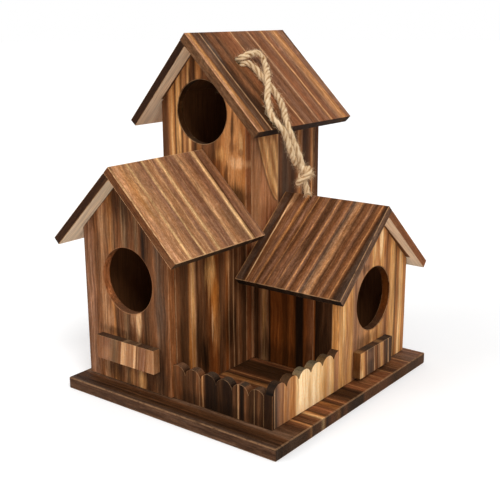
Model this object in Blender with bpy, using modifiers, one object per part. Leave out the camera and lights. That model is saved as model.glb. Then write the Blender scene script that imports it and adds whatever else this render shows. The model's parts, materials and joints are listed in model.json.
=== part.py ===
# Sparrow terrace nest box: a tower, a cottage and an annex on one base, with two picket fences and a cord.
# Metres, Z up. The origin is the middle of the base's underside, X runs along its front edge, Y to the back.

import bpy
import bmesh
from math import sin, cos, tan, atan, radians, sqrt, acos, pi
from mathutils import Matrix, Vector

# Boards and joints
boardThickness = 0.0048
fitGap = 0.0003
edgeRounding = 0.00035
roundingSteps = 2
cutOverrun = 0.002

# Base
baseWidth = 0.141
baseDepth = 0.150
baseThickness = 0.0065
baseRounding = 0.0006

# The two houses that share one width
houseWidth = 0.0609
houseSideMargin = 0.0043
cottageFrontMargin = 0.0124
cottageLength = 0.0641
towerBackMargin = 0.0017

# Cottage roof
cottageRidgeHeight = 0.1267
cottagePitch = radians(44.3)
cottageHalfSpan = 0.0440
cottageFrontOverhang = 0.0089

# Tower roof, its ridge a little to the left of the walls' middle
towerRidgeHeight = 0.190
towerRidgeShift = -0.0036
towerPitch = radians(46.8)
towerHalfSpan = 0.0464
towerFrontOverhang = 0.0095
towerBackOverhang = 0.0099

# Annex
annexSideMargin = 0.0122
annexDepth = 0.0721
annexBehindTower = 0.0027
annexFrontSetback = 0.0095
annexRidgeHeight = 0.1013
annexPitch = radians(40.7)
annexHalfSpan = 0.0475
annexSideOverhang = 0.0070
annexRoofToTower = 0.0031

# Entrance holes: one drill, each so far below its ridge and beside its gable's middle
entranceRadius = 0.0178
entranceSegments = 72
cottageEntranceDrop = 0.0614
cottageEntranceShift = 0.0013
towerEntranceDrop = 0.0428
towerEntranceShift = -0.0005
annexEntranceDrop = 0.0524
annexEntranceShift = -0.0011

# Landing ledges
cottageLedgeWidth = 0.0422
cottageLedgeHeight = 0.0132
cottageLedgeBottom = 0.0197
cottageLedgeShift = 0.0021
annexLedgeWidth = 0.0348
annexLedgeHeight = 0.0148
annexLedgeBottom = 0.0090
annexLedgeShift = -0.0046

# Picket fences
fenceFrontMargin = 0.0139
picketArcSteps = 12
frontValleyHeight = 0.0214
frontPicketRise = 0.0042
frontPicketPitch = 0.01023
frontFirstValley = 0.00805
sideValleyHeight = 0.0245
sidePicketRise = 0.0048
sidePicketPitch = 0.01071
sideFirstValley = 0.01177

# Cord
cordDiameter = 0.003
cordHoleClearance = 0.0006
cordHoleDownSlope = 0.0226
cordHoleBehindFace = 0.0185
cordHoleSegments = 40
cordRings = 2
legSteps = 2
knotSteps = 2
stopKnotDrop = 0.0068
endKnotMiddle = Vector((0.0161, 0.02616, 0.11302))
endKnotHang = Vector((0.10, 0.26, -1.0))
endKnotTurn = radians(300)
stopKnotTurn = radians(0)

# Where the left leg of the cord runs, from inside the tower over the roof to its free end
leftLegRoute = [
    (-0.0291, 0.0200, 0.1706), (-0.0269, 0.0201, 0.1730), (-0.0245, 0.0199, 0.1752),
    (-0.0217, 0.0190, 0.1764), (-0.0198, 0.0208, 0.1774), (-0.0201, 0.0240, 0.1780),
    (-0.0205, 0.0272, 0.1784), (-0.0208, 0.0305, 0.1786), (-0.0206, 0.0336, 0.1780),
    (-0.0194, 0.0355, 0.1758), (-0.0174, 0.0346, 0.1734), (-0.0154, 0.0329, 0.1715),
    (-0.0134, 0.0309, 0.1699), (-0.0114, 0.0287, 0.1685), (-0.0092, 0.0266, 0.1673),
    (-0.0075, 0.0244, 0.1657), (-0.0058, 0.0222, 0.1639), (-0.0042, 0.0201, 0.1620),
    (-0.0031, 0.0182, 0.1596), (-0.0020, 0.0166, 0.1570), (-0.0005, 0.0148, 0.1547),
    (0.0013, 0.0130, 0.1526), (0.0032, 0.0113, 0.1506), (0.0052, 0.0096, 0.1486),
    (0.0074, 0.0085, 0.1465), (0.0097, 0.0083, 0.1443), (0.0119, 0.0093, 0.1420),
    (0.0127, 0.0110, 0.1394), (0.0130, 0.0128, 0.1368), (0.0133, 0.0143, 0.1339),
    (0.0136, 0.0156, 0.1309), (0.0138, 0.0169, 0.1279), (0.0137, 0.0186, 0.1251),
    (0.0131, 0.0207, 0.1227), (0.0124, 0.0232, 0.1208), (0.0118, 0.0259, 0.1190),
    (0.0111, 0.0287, 0.1174), (0.0111, 0.0313, 0.1156), (0.0119, 0.0338, 0.1137),
    (0.0140, 0.0358, 0.1121)]

# Where the right leg runs, from inside the tower to the top of the end knot
rightLegRoute = [
    (-0.0259, 0.0200, 0.1691), (-0.0238, 0.0200, 0.1713), (-0.0216, 0.0205, 0.1733),
    (-0.0195, 0.0225, 0.1733), (-0.0180, 0.0245, 0.1716), (-0.0161, 0.0255, 0.1696),
    (-0.0139, 0.0256, 0.1675), (-0.0118, 0.0256, 0.1654), (-0.0097, 0.0259, 0.1632),
    (-0.0075, 0.0263, 0.1611), (-0.0054, 0.0265, 0.1590), (-0.0032, 0.0263, 0.1569),
    (-0.0011, 0.0258, 0.1548), (0.0010, 0.0249, 0.1527), (0.0029, 0.0238, 0.1508),
    (0.0048, 0.0223, 0.1489), (0.0066, 0.0206, 0.1472), (0.0084, 0.0189, 0.1454),
    (0.0102, 0.0172, 0.1437), (0.0121, 0.0160, 0.1417), (0.0129, 0.0163, 0.1389),
    (0.0132, 0.0177, 0.1362), (0.0136, 0.0190, 0.1335), (0.0141, 0.0203, 0.1308),
    (0.0145, 0.0214, 0.1280), (0.0149, 0.0225, 0.1253), (0.0155, 0.0235, 0.1225),
    (0.0156, 0.0246, 0.1197)]

# One overhand knot about its own middle, its two ends above and below
overhandRoute = [
    (0.0000, 0.0002, 0.0065), (-0.0001, 0.0003, 0.0051), (-0.0001, 0.0004, 0.0037),
    (-0.0002, 0.0006, 0.0023), (-0.0006, 0.0012, 0.0011), (-0.0016, 0.0017, 0.0002),
    (-0.0026, 0.0015, -0.0008), (-0.0033, 0.0007, -0.0017), (-0.0035, -0.0004, -0.0026),
    (-0.0032, -0.0016, -0.0032), (-0.0024, -0.0027, -0.0035), (-0.0013, -0.0035, -0.0035),
    (0.0001, -0.0038, -0.0032), (0.0013, -0.0035, -0.0026), (0.0023, -0.0028, -0.0018),
    (0.0028, -0.0018, -0.0010), (0.0028, -0.0005, -0.0003), (0.0028, 0.0007, 0.0004),
    (0.0027, 0.0019, 0.0011), (0.0022, 0.0030, 0.0019), (0.0012, 0.0036, 0.0027),
    (-0.0001, 0.0037, 0.0033), (-0.0014, 0.0034, 0.0035), (-0.0026, 0.0026, 0.0035),
    (-0.0033, 0.0014, 0.0031), (-0.0035, 0.0002, 0.0024), (-0.0032, -0.0009, 0.0016),
    (-0.0024, -0.0015, 0.0006), (-0.0014, -0.0017, -0.0003), (-0.0005, -0.0011, -0.0013),
    (-0.0002, -0.0005, -0.0025), (-0.0001, -0.0003, -0.0039), (-0.0001, -0.0003, -0.0053),
    (0.0000, -0.0002, -0.0067), (0.0000, -0.0002, -0.0082), (0.0000, -0.0001, -0.0096)]

# Places that follow from the sizes
baseLeft = -baseWidth / 2
baseRight = baseWidth / 2
baseFront = -baseDepth / 2
baseBack = baseDepth / 2
floorTop = baseThickness + fitGap
houseLeft = baseLeft + houseSideMargin
houseRight = houseLeft + houseWidth
houseMiddle = (houseLeft + houseRight) / 2
cottageFace = baseFront + cottageFrontMargin
towerFace = cottageFace + cottageLength
towerRear = baseBack - towerBackMargin
towerDepth = towerRear - towerFace
annexFace = baseRight - annexSideMargin
annexRear = towerRear - annexBehindTower
annexFront = annexRear - annexDepth
annexMiddle = (annexFront + annexRear) / 2
annexInner = houseRight + fitGap
annexOuter = annexFace - boardThickness - fitGap
fenceFace = baseFront + fenceFrontMargin
cordHoleRadius = cordDiameter + cordHoleClearance

for old in list(bpy.data.objects):
    bpy.data.objects.remove(old, do_unlink=True)

partCollection = bpy.data.collections.new("SparrowTerraceNestBox")
cutterCollection = bpy.data.collections.new("Cutters")
bpy.context.scene.collection.children.link(partCollection)
bpy.context.scene.collection.children.link(cutterCollection)


# Ways to lay an outline out: facing the front, facing the side, lying flat
def facingFront(yMiddle):
    turned = Matrix(((1, 0, 0), (0, 0, -1), (0, 1, 0))).to_4x4()
    return Matrix.Translation((0, yMiddle, 0)) @ turned


def facingSide(xMiddle):
    turned = Matrix(((0, 0, 1), (1, 0, 0), (0, 1, 0))).to_4x4()
    return Matrix.Translation((xMiddle, 0, 0)) @ turned


def lyingFlat(zMiddle):
    return Matrix.Translation((0, 0, zMiddle))


# Colour, one material to a piece
def paint(piece, colour, roughness):
    material = bpy.data.materials.new(piece.name + "_finish")
    material.use_nodes = True
    shader = material.node_tree.nodes["Principled BSDF"]
    shader.inputs["Base Color"].default_value = (*colour, 1)
    shader.inputs["Roughness"].default_value = roughness
    piece.data.materials.append(material)


brownWood = (0.23, 0.11, 0.05)
roofWood = (0.30, 0.14, 0.07)
tanWood = (0.52, 0.30, 0.14)
juteColour = (0.62, 0.47, 0.28)
woodRoughness = 0.6
juteRoughness = 0.9


# Edge softening after the joined points of an outline are merged
def soften(piece, width):
    weld = piece.modifiers.new("Weld", "WELD")
    weld.merge_threshold = fitGap / 30
    bevel = piece.modifiers.new("Bevel", "BEVEL")
    bevel.width = width
    bevel.segments = roundingSteps
    bevel.limit_method = "ANGLE"
    bevel.angle_limit = radians(35)


# A board from its outline, with any round holes as inner outlines
def board(name, outline, thickness, frame, colour, holes=(), rounding=edgeRounding):
    drawing = bpy.data.curves.new(name, "CURVE")
    drawing.dimensions = "2D"
    drawing.fill_mode = "BOTH"
    drawing.extrude = thickness / 2
    for ring in (outline, *holes):
        spline = drawing.splines.new("POLY")
        spline.points.add(len(ring) - 1)
        for spot, (across, upward) in zip(spline.points, ring):
            spot.co = (across, upward, 0, 1)
        spline.use_cyclic_u = True
    piece = bpy.data.objects.new(name, drawing)
    piece.matrix_world = frame
    partCollection.objects.link(piece)
    soften(piece, rounding)
    paint(piece, colour, woodRoughness)
    return piece


def rectangle(left, right, bottom, top):
    return [(left, bottom), (right, bottom), (right, top), (left, top)]


def ring(across, upward, radius):
    steps = [2 * pi * index / entranceSegments for index in range(entranceSegments)]
    return [(across + radius * cos(angle), upward + radius * sin(angle)) for angle in steps]


# A gable roof across a middle line; its ridge may sit to one side, which makes one panel steeper
def gableRoof(middle, ridgeHeight, pitch, halfSpan, ridgeShift=0):
    fall = halfSpan * tan(pitch)
    spans = {side: halfSpan - side * ridgeShift for side in (-1, 1)}
    return {"ridge": middle + ridgeShift, "height": ridgeHeight, "fall": fall, "span": spans,
            "pitch": {side: atan(fall / spans[side]) for side in (-1, 1)}}


# Height of a roof's underside over a wall, and the point where the two undersides meet
def undersideAt(roof, place):
    side = 1 if place > roof["ridge"] else -1
    pitch = roof["pitch"][side]
    under = (boardThickness + fitGap) / cos(pitch)
    return roof["height"] - under - abs(place - roof["ridge"]) * tan(pitch)


def undersideApex(roof, depth):
    left, right = roof["pitch"][-1], roof["pitch"][1]
    across = (depth / cos(left) - depth / cos(right)) / (tan(left) + tan(right))
    return (roof["ridge"] + across, roof["height"] - depth / cos(left) + across * tan(left))


# A gable board: full width, its top cut to the roof's underside
def gable(middle, halfWidth, roof):
    left, right = middle - halfWidth, middle + halfWidth
    return [(left, floorTop), (right, floorTop), (right, undersideAt(roof, right)),
            undersideApex(roof, boardThickness + fitGap), (left, undersideAt(roof, left))]


# A side wall's section, its top sloped to the roof; side is -1 or 1 and outer is its outer face
def wallSection(middle, side, outer, roof):
    outerFace = middle + side * outer
    innerFace = outerFace - side * boardThickness
    return [(outerFace, floorTop), (outerFace, undersideAt(roof, outerFace)),
            (innerFace, undersideAt(roof, innerFace)), (innerFace, floorTop)]


# The panel that laps over the ridge on one side, and the panel that it laps on the other
def eaveEnd(roof, side):
    pitch = roof["pitch"][side]
    outer = (roof["ridge"] + side * roof["span"][side], roof["height"] - roof["fall"])
    inner = (outer[0] - side * boardThickness * sin(pitch), outer[1] - boardThickness * cos(pitch))
    return outer, inner


def lapLine(roof, side):
    lap, other = roof["pitch"][side], roof["pitch"][-side]
    across = boardThickness / (cos(lap) * (tan(lap) + tan(other)))
    return (roof["ridge"] - side * across, roof["height"] - across * tan(other))


def lappingPanel(roof, side):
    outer, inner = eaveEnd(roof, side)
    return [(roof["ridge"], roof["height"]), outer, inner, lapLine(roof, side)]


def lappedPanel(roof, side):
    outer, inner = eaveEnd(roof, side)
    pitch = roof["pitch"][side]
    shift = fitGap / sin(roof["pitch"][-1] + roof["pitch"][1])
    back, drop = side * shift * cos(pitch), shift * sin(pitch)
    ends = [lapLine(roof, -side), undersideApex(roof, boardThickness)]
    return [(across + back, height - drop) for across, height in ends] + [inner, outer]


# The scalloped outline of a picket board that starts at zero and runs for its length
def picketOutline(length, valleyHeight, rise, pitch, firstValley):
    radius = (pitch * pitch / 4 + rise * rise) / (2 * rise)
    sweep = acos((radius - rise) / radius)
    arcMiddle = valleyHeight + rise - radius

    def topAt(along):
        offset = (along - firstValley) % pitch - pitch / 2
        if along < firstValley - pitch:
            return valleyHeight
        return arcMiddle + sqrt(radius * radius - offset * offset)

    top = [(0, topAt(0))]
    middle = firstValley - pitch / 2
    while middle - pitch / 2 < length:
        for step in range(picketArcSteps + 1):
            angle = sweep * (2 * step / picketArcSteps - 1)
            along = middle + radius * sin(angle)
            spaced = along - top[-1][0] > fitGap and length - along > fitGap
            if along > fitGap and spaced:
                top.append((along, arcMiddle + radius * cos(angle)))
        middle += pitch
    top.append((length, topAt(length)))
    return top


def picketBoard(name, start, direction, length, numbers, thickness, frame, colour):
    top = picketOutline(length, *numbers)
    outline = [(start + direction * along, height) for along, height in top]
    outline += [(start + direction * length, floorTop), (start, floorTop)]
    return board(name, outline, thickness, frame, colour)


# Base
board("base_plate", rectangle(baseLeft, baseRight, baseFront, baseBack), baseThickness,
      lyingFlat(baseThickness / 2), brownWood, rounding=baseRounding)

# Tower walls
towerRoof = gableRoof(houseMiddle, towerRidgeHeight, towerPitch, towerHalfSpan, towerRidgeShift)
towerGable = gable(houseMiddle, houseWidth / 2, towerRoof)
towerEntrance = ring(houseMiddle + towerEntranceShift, towerRidgeHeight - towerEntranceDrop,
                     entranceRadius)
board("tower_front_wall", towerGable, boardThickness,
      facingFront(towerFace + boardThickness / 2), brownWood, holes=[towerEntrance])
board("tower_back_wall", towerGable, boardThickness,
      facingFront(towerRear - boardThickness / 2), brownWood)
towerWallLength = towerDepth - 2 * (boardThickness + fitGap)
towerWallMiddle = (towerFace + towerRear) / 2
for name, side in (("tower_left_wall", -1), ("tower_right_wall", 1)):
    board(name, wallSection(houseMiddle, side, houseWidth / 2, towerRoof),
          towerWallLength, facingFront(towerWallMiddle), brownWood)

# Cottage walls, closed at the back by the tower's front wall
cottageRoof = gableRoof(houseMiddle, cottageRidgeHeight, cottagePitch, cottageHalfSpan)
cottageEntrance = ring(houseMiddle + cottageEntranceShift, cottageRidgeHeight - cottageEntranceDrop,
                       entranceRadius)
board("cottage_front_wall", gable(houseMiddle, houseWidth / 2, cottageRoof), boardThickness,
      facingFront(cottageFace + boardThickness / 2), tanWood, holes=[cottageEntrance])
cottageWallFront = cottageFace + boardThickness + fitGap
cottageWallRear = towerFace - fitGap
for name, side in (("cottage_left_wall", -1), ("cottage_right_wall", 1)):
    board(name, wallSection(houseMiddle, side, houseWidth / 2, cottageRoof),
          cottageWallRear - cottageWallFront,
          facingFront((cottageWallFront + cottageWallRear) / 2), brownWood)

# Annex walls, closed on the left by the tower's right wall
annexRoof = gableRoof(annexMiddle, annexRidgeHeight, annexPitch, annexHalfSpan)
annexEntrance = ring(annexMiddle + annexEntranceShift, annexRidgeHeight - annexEntranceDrop,
                     entranceRadius)
board("annex_gable_wall", gable(annexMiddle, annexDepth / 2, annexRoof), boardThickness,
      facingSide(annexFace - boardThickness / 2), brownWood, holes=[annexEntrance])
annexWallLength = annexOuter - annexInner
annexWallMiddle = (annexInner + annexOuter) / 2
board("annex_front_wall", wallSection(annexMiddle, -1, annexDepth / 2 - annexFrontSetback, annexRoof),
      annexWallLength, facingSide(annexWallMiddle), brownWood)
board("annex_back_wall", wallSection(annexMiddle, 1, annexDepth / 2, annexRoof),
      annexWallLength, facingSide(annexWallMiddle), brownWood)

# Cottage roof
cottageRoofFront = cottageFace - cottageFrontOverhang
cottageRoofRear = towerFace - fitGap
cottageRoofLength = cottageRoofRear - cottageRoofFront
cottageRoofFrame = facingFront((cottageRoofFront + cottageRoofRear) / 2)
board("cottage_roof_right", lappingPanel(cottageRoof, 1),
      cottageRoofLength, cottageRoofFrame, roofWood)
board("cottage_roof_left", lappedPanel(cottageRoof, -1),
      cottageRoofLength, cottageRoofFrame, roofWood)

# Tower roof
towerRoofFront = towerFace - towerFrontOverhang
towerRoofRear = towerRear + towerBackOverhang
towerRoofLength = towerRoofRear - towerRoofFront
towerRoofFrame = facingFront((towerRoofFront + towerRoofRear) / 2)
towerRoofRight = board("tower_roof_right", lappingPanel(towerRoof, 1),
                       towerRoofLength, towerRoofFrame, roofWood)
board("tower_roof_left", lappedPanel(towerRoof, -1),
      towerRoofLength, towerRoofFrame, roofWood)

# Annex roof, its front panel lapping the back one
annexRoofLeft = houseRight + annexRoofToTower
annexRoofRight = annexFace + annexSideOverhang
annexRoofLength = annexRoofRight - annexRoofLeft
annexRoofFrame = facingSide((annexRoofLeft + annexRoofRight) / 2)
board("annex_roof_front", lappingPanel(annexRoof, -1),
      annexRoofLength, annexRoofFrame, roofWood)
board("annex_roof_back", lappedPanel(annexRoof, 1),
      annexRoofLength, annexRoofFrame, roofWood)

# Cord hole, square to the tower's right roof panel
rightPitch = towerRoof["pitch"][1]
roofRun = Vector((cos(rightPitch), 0, -sin(rightPitch)))
roofNormal = Vector((sin(rightPitch), 0, cos(rightPitch)))
towerRidge = Vector((towerRoof["ridge"], towerFace + cordHoleBehindFace, towerRidgeHeight))
cordHoleTop = towerRidge + cordHoleDownSlope * roofRun
drill = bpy.data.meshes.new("cord_hole_cutter")
shape = bmesh.new()
bmesh.ops.create_cone(shape, cap_ends=True, segments=cordHoleSegments, radius1=cordHoleRadius,
                      radius2=cordHoleRadius, depth=boardThickness + 2 * cutOverrun)
shape.to_mesh(drill)
shape.free()
cutter = bpy.data.objects.new("cord_hole_cutter", drill)
cutter.matrix_world = (Matrix.Translation(cordHoleTop - roofNormal * boardThickness / 2)
                       @ Matrix.Rotation(rightPitch, 4, "Y"))
cutterCollection.objects.link(cutter)
cutter.hide_render = True
cutter.display_type = "WIRE"

bpy.context.view_layer.update()
solidPanel = bpy.data.meshes.new_from_object(towerRoofRight)
joined = bmesh.new()
joined.from_mesh(solidPanel)
bmesh.ops.remove_doubles(joined, verts=joined.verts, dist=fitGap / 30)
joined.to_mesh(solidPanel)
joined.free()
panelFrame = towerRoofRight.matrix_world.copy()
bpy.data.objects.remove(towerRoofRight, do_unlink=True)
towerRoofRight = bpy.data.objects.new("tower_roof_right", solidPanel)
towerRoofRight.matrix_world = panelFrame
partCollection.objects.link(towerRoofRight)
cut = towerRoofRight.modifiers.new("CordHole", "BOOLEAN")
cut.operation = "DIFFERENCE"
cut.solver = "EXACT"
cut.object = cutter

# Landing ledges, flat against their gables
cottageLedgeMiddle = houseMiddle + cottageLedgeShift
board("cottage_ledge",
      rectangle(cottageLedgeMiddle - cottageLedgeWidth / 2, cottageLedgeMiddle + cottageLedgeWidth / 2,
                cottageLedgeBottom, cottageLedgeBottom + cottageLedgeHeight),
      boardThickness, facingFront(cottageFace - fitGap - boardThickness / 2), tanWood)
annexLedgeMiddle = annexMiddle + annexLedgeShift
board("annex_ledge",
      rectangle(annexLedgeMiddle - annexLedgeWidth / 2, annexLedgeMiddle + annexLedgeWidth / 2,
                annexLedgeBottom, annexLedgeBottom + annexLedgeHeight),
      boardThickness, facingSide(annexFace + fitGap + boardThickness / 2), tanWood)

# Picket fences: the side board covers the end of the front one
sideFenceInner = annexFace - boardThickness
picketBoard("terrace_front_fence", houseRight + fitGap, 1,
            sideFenceInner - fitGap - (houseRight + fitGap),
            (frontValleyHeight, frontPicketRise, frontPicketPitch, frontFirstValley),
            boardThickness, facingFront(fenceFace + boardThickness / 2), brownWood)
picketBoard("terrace_side_fence", fenceFace, 1, annexFront - fitGap - fenceFace,
            (sideValleyHeight, sidePicketRise, sidePicketPitch, sideFirstValley),
            boardThickness, facingSide(annexFace - boardThickness / 2), tanWood)


# Cord: a smooth line through its route, swept to a round section
def smoothLine(route, steps):
    spots = [Vector(spot) for spot in route]
    ends = [2 * spots[0] - spots[1]] + spots + [2 * spots[-1] - spots[-2]]
    line = []
    for index in range(1, len(ends) - 2):
        before, here, there, after = ends[index - 1:index + 3]
        for step in range(steps):
            share = step / steps
            line.append(0.5 * (2 * here + (there - before) * share
                               + (2 * before - 5 * here + 4 * there - after) * share ** 2
                               + (3 * here - before - 3 * there + after) * share ** 3))
    return line + [spots[-1]]


def cord(name, line):
    sweep = bpy.data.curves.new(name, "CURVE")
    sweep.dimensions = "3D"
    sweep.bevel_depth = cordDiameter / 2
    sweep.bevel_resolution = cordRings
    sweep.use_fill_caps = True
    spline = sweep.splines.new("POLY")
    spline.points.add(len(line) - 1)
    for spot, place in zip(spline.points, line):
        spot.co = (*place, 1)
    piece = bpy.data.objects.new(name, sweep)
    partCollection.objects.link(piece)
    weld = piece.modifiers.new("Weld", "WELD")
    weld.merge_threshold = fitGap / 30
    paint(piece, juteColour, juteRoughness)
    return piece


# A knot about its middle, hanging along a direction and turned about it
def knotLine(middle, hang, turn):
    upward = -hang.normalized()
    across = Vector((0, 1, 0)).cross(upward).normalized()
    along = upward.cross(across)
    line = []
    for spot in smoothLine(overhandRoute, knotSteps):
        first = spot.x * cos(turn) - spot.y * sin(turn)
        second = spot.x * sin(turn) + spot.y * cos(turn)
        line.append(middle + first * across + second * along + spot.z * upward)
    return line


cord("rope_leg_left", smoothLine(leftLegRoute, legSteps))
cord("rope_leg_right", smoothLine(rightLegRoute, legSteps))
cord("rope_end_knot", knotLine(endKnotMiddle, endKnotHang, endKnotTurn))
stopKnotMiddle = Vector(rightLegRoute[0]) - stopKnotDrop * roofNormal
cord("rope_stop_knot", knotLine(stopKnotMiddle, -roofNormal, stopKnotTurn))
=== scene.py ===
import bpy
import bmesh
import json
import random
from math import sin, cos, radians, pi
from mathutils import Matrix, Vector
from mathutils.kdtree import KDTree

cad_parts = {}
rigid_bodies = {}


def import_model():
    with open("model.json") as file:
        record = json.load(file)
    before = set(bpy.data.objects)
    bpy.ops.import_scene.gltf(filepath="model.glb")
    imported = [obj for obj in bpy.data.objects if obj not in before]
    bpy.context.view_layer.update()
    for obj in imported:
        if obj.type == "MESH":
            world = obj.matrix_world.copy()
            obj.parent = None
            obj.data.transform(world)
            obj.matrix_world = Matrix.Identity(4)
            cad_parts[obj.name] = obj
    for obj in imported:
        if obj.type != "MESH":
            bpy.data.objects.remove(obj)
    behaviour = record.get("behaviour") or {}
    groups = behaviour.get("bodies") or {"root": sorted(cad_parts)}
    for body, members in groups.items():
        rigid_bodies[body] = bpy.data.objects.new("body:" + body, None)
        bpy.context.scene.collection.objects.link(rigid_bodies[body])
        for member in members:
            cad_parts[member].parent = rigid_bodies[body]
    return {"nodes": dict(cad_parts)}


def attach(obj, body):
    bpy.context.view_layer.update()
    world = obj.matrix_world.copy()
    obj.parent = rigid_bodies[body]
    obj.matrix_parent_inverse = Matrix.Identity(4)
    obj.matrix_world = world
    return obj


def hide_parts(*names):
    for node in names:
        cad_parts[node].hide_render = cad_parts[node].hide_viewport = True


for leftover in list(bpy.data.objects):
    bpy.data.objects.remove(leftover, do_unlink=True)

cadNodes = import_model()["nodes"]
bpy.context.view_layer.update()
print("frame loaded:", len(cadNodes), "pieces")

sideways, backwards, upwards = (1, 0, 0), (0, 1, 0), (0, 0, 1)
millimetres = 1000  # the wood's patterns are laid out in millimetres


def showPiece(name, data):
    piece = bpy.data.objects.new(name, data)
    bpy.context.scene.collection.objects.link(piece)
    return piece


# Camera, at the photograph's angle and for its 500 by 500 picture
cameraSettings = {
    "place": (0.2855, -0.3733, 0.2006), "forward": (-0.58273, 0.76832, -0.26478),
    "up": (-0.15756, 0.21282, 0.96430), "sensor": 36, "lens": 63.55,
    "shift": (-0.0114, 0.0089), "reach": (0.01, 20)}


def placeCamera(settings):
    lens = bpy.data.cameras.new("camera")
    lens.sensor_width = settings["sensor"]
    lens.lens = settings["lens"]
    lens.shift_x, lens.shift_y = settings["shift"]
    lens.clip_start, lens.clip_end = settings["reach"]
    camera = showPiece("camera", lens)
    forward = Vector(settings["forward"]).normalized()
    right = forward.cross(Vector(settings["up"])).normalized()
    turned = Matrix((right, right.cross(forward), -forward)).transposed().to_4x4()
    camera.matrix_world = Matrix.Translation(settings["place"]) @ turned
    bpy.context.scene.camera = camera


placeCamera(cameraSettings)
print("camera placed")


# Small helpers for the material nodes
def fromHex(text):
    shares = [int(text[start:start + 2], 16) / 255 for start in (1, 3, 5)]
    linear = [(share + 0.055) ** 2.4 / 1.055 ** 2.4 if share > 0.04045 else share / 12.92
              for share in shares]
    return (*linear, 1)


def feed(tree, socket, value):
    if isinstance(value, bpy.types.NodeSocket):
        tree.links.new(value, socket)
    else:
        socket.default_value = value


def addNode(tree, kind, values=None, **settings):
    node = tree.nodes.new(kind)
    for key, value in settings.items():
        setattr(node, key, value)
    for key, value in (values or {}).items():
        feed(tree, node.inputs[key], value)
    return node


def calc(tree, operation, *operands):
    node = addNode(tree, "ShaderNodeMath", dict(enumerate(operands)), operation=operation)
    return node.outputs[0]


def product(tree, first, second):
    return calc(tree, "MULTIPLY", first, second)


# The first value times the second, on top of the third
def addTo(tree, value, factor, total):
    return calc(tree, "MULTIPLY_ADD", value, factor, total)


# A noise about nought
def centred(tree, value):
    return calc(tree, "SUBTRACT", value, 0.5)


def vectorCalc(tree, operation, *operands):
    node = addNode(tree, "ShaderNodeVectorMath", dict(enumerate(operands)), operation=operation)
    return node.outputs["Value" if operation in ("DOT_PRODUCT", "LENGTH") else "Vector"]


def joined(tree, x, y=0.0, z=0.0):
    return addNode(tree, "ShaderNodeCombineXYZ", {"X": x, "Y": y, "Z": z}).outputs[0]


def parted(tree, vector):
    return addNode(tree, "ShaderNodeSeparateXYZ", {0: vector}).outputs


def spread(tree, value, low, high, toLow=0.0, toHigh=1.0):
    node = addNode(tree, "ShaderNodeMapRange", {"Value": value, "From Min": low, "From Max": high,
                                                "To Min": toLow, "To Max": toHigh})
    return node.outputs["Result"]


def mixed(tree, share, first, second, blend="MIX"):
    node = addNode(tree, "ShaderNodeMix", data_type="RGBA", blend_type=blend)
    for index, value in ((0, share), (6, first), (7, second)):
        feed(tree, node.inputs[index], value)
    return node.outputs[2]


def tinted(tree, colour, tint):
    return mixed(tree, 1.0, colour, tint, "MULTIPLY")


# The colour, tinted where the share says
def partTinted(tree, share, colour, tint):
    return mixed(tree, share, colour, tinted(tree, colour, tint))


def lit(tree, colour, level):
    values = {"Vector": colour, "Scale": level}
    return addNode(tree, "ShaderNodeVectorMath", values, operation="SCALE").outputs["Vector"]


def noiseOf(tree, vector, scale=1.0, detail=2.0, roughness=0.5):
    values = {"Vector": vector, "Scale": scale, "Detail": detail, "Roughness": roughness}
    return addNode(tree, "ShaderNodeTexNoise", values).outputs["Fac"]


def grainNoise(tree, place, across, along, detail=3.0, roughness=0.55):
    stretched = vectorCalc(tree, "MULTIPLY", place, (across, along, across))
    return noiseOf(tree, stretched, 1.0, detail, roughness)


def rampOf(tree, value, stops):
    ramp = addNode(tree, "ShaderNodeValToRGB", {"Fac": value})
    bar = ramp.color_ramp.elements
    bar.remove(bar[-1])
    bar[0].position, bar[0].color = 0, stops[0][1]
    for share, colour in stops[1:]:
        bar.new(min(max(share, 0), 1)).color = colour
    return ramp.outputs["Color"]


def objectSpot(tree):
    spot = tree.nodes.new("ShaderNodeTexCoord").outputs["Object"]
    return vectorCalc(tree, "MULTIPLY", spot, (millimetres,) * 3)


def newGroup(name, inputs, outputs):
    tree = bpy.data.node_groups.new(name, "ShaderNodeTree")
    kinds = {"float": "NodeSocketFloat", "vector": "NodeSocketVector", "colour": "NodeSocketColor"}
    for way, sockets in (("INPUT", inputs), ("OUTPUT", outputs)):
        for kind, labels in sockets.items():
            for label in labels:
                tree.interface.new_socket(label, in_out=way, socket_type=kinds[kind])
    taken = tree.nodes.new("NodeGroupInput").outputs
    return tree, taken, tree.nodes.new("NodeGroupOutput").inputs


def newMaterial(name):
    material = bpy.data.materials.new(name)
    material.use_nodes = True
    return material, material.node_tree


# Colour, roughness and relief given to a material's own shader
def finishShader(tree, colour, roughness, height, settings):
    bump = addNode(tree, "ShaderNodeBump", {"Strength": settings["bump"], "Height": height,
                                            "Distance": settings["relief"]})
    shader = tree.nodes["Principled BSDF"]
    for label, source in (("Base Color", colour), ("Roughness", roughness),
                          ("Normal", bump.outputs[0]), ("Specular IOR Level", settings["gloss"])):
        feed(tree, shader.inputs[label], source)


# A board's own place in millimetres: across its strips, along its grain, through its thickness
wanderSettings = {"across": 0.06, "along": 0.016, "amount": 3.0, "seedStep": 37.0}


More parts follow.
